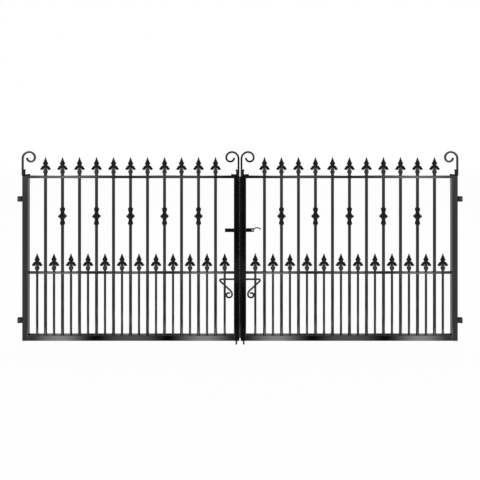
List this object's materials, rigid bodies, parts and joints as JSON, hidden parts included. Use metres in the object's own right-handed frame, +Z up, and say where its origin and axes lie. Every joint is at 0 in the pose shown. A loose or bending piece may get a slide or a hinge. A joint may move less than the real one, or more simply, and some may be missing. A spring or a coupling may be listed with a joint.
{
  "type": "double leaf wrought iron driveway gate",
  "caption": "Double leaf wrought iron driveway gate with spear finials, dog bars, collars, top scrolls, drop bolts and a slide latch between wall hinges.",
  "frame": {"origin": "centre of the lower left hinge bracket's wall face", "axes": "+X along the closed gate from the left wall to the right wall, +Y inwards from the street, +Z up"},
  "size_m": [3.03, 0.0715, 1.3315],
  "materials": {
    "bar_black": "satin",
    "cast_black": "satin",
    "bolt_black": "satin"
  },
  "bodies": {
    "hinge_brackets": {"left_hinge_brackets": "bar_black", "right_hinge_brackets": "bar_black"},
    "left_leaf": {"left_hinge_stile": "bar_black", "left_meeting_stile": "bar_black", "left_bottom_rail": "bar_black", "left_middle_rail": "bar_black", "left_top_rail": "bar_black", "left_long_bars": "bar_black", "left_dog_bars": "bar_black", "left_top_finials": "cast_black", "left_dog_finials": "cast_black", "left_collars": "cast_black", "left_hinge_scroll": "bar_black", "left_meeting_scroll": "bar_black", "left_hinge_corner_bracket": "cast_black", "left_meeting_corner_bracket": "cast_black", "left_hinge_eyes": "bar_black", "left_drop_bolt_guides": "bar_black", "latch_keeper": "bar_black"},
    "right_leaf": {"right_hinge_stile": "bar_black", "right_meeting_stile": "bar_black", "right_bottom_rail": "bar_black", "right_middle_rail": "bar_black", "right_top_rail": "bar_black", "right_long_bars": "bar_black", "right_dog_bars": "bar_black", "right_top_finials": "cast_black", "right_dog_finials": "cast_black", "right_collars": "cast_black", "right_hinge_scroll": "bar_black", "right_meeting_scroll": "bar_black", "right_hinge_corner_bracket": "cast_black", "right_meeting_corner_bracket": "cast_black", "right_hinge_eyes": "bar_black", "right_drop_bolt_guides": "bar_black", "latch_guide": "bar_black", "stop_strip": "bar_black"},
    "left_drop_bolt": {"left_drop_bolt": "bolt_black"},
    "right_drop_bolt": {"right_drop_bolt": "bolt_black"},
    "latch_bolt": {"latch_bolt": "bolt_black"}
  },
  "joints": [
    {"name": "left_leaf_swing", "type": "hinge", "parent": "hinge_brackets", "child": "left_leaf", "pos_m": [0.02, 0, 0], "axis": [0, 0, 1], "range_deg": [0, 90]},
    {"name": "right_leaf_swing", "type": "hinge", "parent": "hinge_brackets", "child": "right_leaf", "pos_m": [3.01, 0, 0], "axis": [0, 0, -1], "range_deg": [0, 90]},
    {"name": "left_drop_bolt_lift", "type": "slide", "parent": "left_leaf", "child": "left_drop_bolt", "axis": [0, 0, 1], "range_m": [0, 0.08]},
    {"name": "right_drop_bolt_lift", "type": "slide", "parent": "right_leaf", "child": "right_drop_bolt", "axis": [0, 0, 1], "range_m": [0, 0.08]},
    {"name": "latch_bolt_slide", "type": "slide", "parent": "right_leaf", "child": "latch_bolt", "axis": [-1, 0, 0], "range_m": [0, 0.038]}
  ]
}
